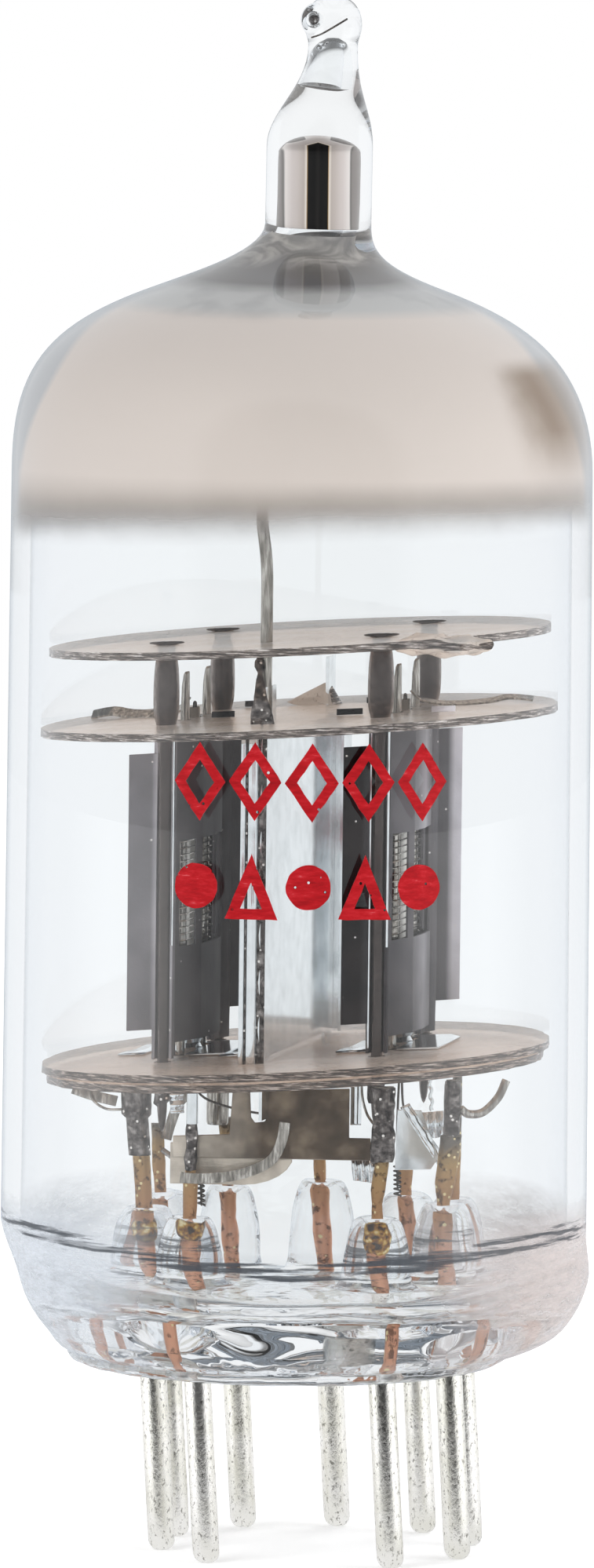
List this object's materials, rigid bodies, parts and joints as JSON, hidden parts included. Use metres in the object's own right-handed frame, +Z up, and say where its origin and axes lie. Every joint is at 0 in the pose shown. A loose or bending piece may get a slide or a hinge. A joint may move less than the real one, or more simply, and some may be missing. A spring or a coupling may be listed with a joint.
{
  "type": "vacuum tube",
  "caption": "Miniature glass vacuum tube on a ring of wire pins, with mica discs, folded anodes, wound grids and a drawn-off exhaust tip, to amplify small signals.",
  "frame": {"origin": "on the bulb's axis, level with the tips of the pins", "axes": "+Z up along the bulb's axis, from the pins to the exhaust tip; -Y towards the front, where the gap between pin 1 and pin 9 is"},
  "size_m": [0.0223, 0.0222, 0.0589],
  "materials": {
    "glass": "clear blown glass",
    "nickel": "drawn nickel",
    "copper": "oxidised copper clad wire",
    "mica": "split mica",
    "carbonised": "carbonised nickel sheet",
    "strap": "heat stained nickel sheet",
    "heater": "dark tungsten wire"
  },
  "bodies": {
    "root": {"bottom_mica": "mica", "centre_shield": "nickel", "centre_tap_ribbon": "nickel", "getter_ring": "nickel", "getter_wire": "nickel", "glass_bulb": "glass", "glass_stem": "glass", "heater_channel": "strap", "heater_strap": "strap", "lead_1": "copper", "lead_2": "copper", "lead_3": "copper", "lead_4": "copper", "lead_5": "copper", "lead_6": "copper", "lead_7": "copper", "lead_8": "copper", "lead_9": "copper", "left_anode_inner": "carbonised", "left_anode_outer": "carbonised", "left_base_plate": "nickel", "left_cathode": "nickel", "left_cathode_ribbon": "nickel", "left_front_grid_rod": "nickel", "left_front_post": "carbonised", "left_grid_ribbon": "nickel", "left_grid_winding": "nickel", "left_heater": "heater", "left_plate_ribbon": "nickel", "left_rear_grid_rod": "nickel", "left_rear_post": "carbonised", "lowest_mica": "mica", "pin_1": "nickel", "pin_2": "nickel", "pin_3": "nickel", "pin_4": "nickel", "pin_5": "nickel", "pin_6": "nickel", "pin_7": "nickel", "pin_8": "nickel", "pin_9": "nickel", "right_anode_inner": "carbonised", "right_anode_outer": "carbonised", "right_base_plate": "nickel", "right_cathode": "nickel", "right_cathode_ribbon": "nickel", "right_front_grid_rod": "nickel", "right_front_post": "carbonised", "right_grid_winding": "nickel", "right_heater": "heater", "right_plate_ribbon": "nickel", "right_rear_grid_rod": "nickel", "right_rear_post": "carbonised", "right_sheet_strap": "nickel", "top_mica": "mica", "upper_mica": "mica"}
  },
  "joints": []
}
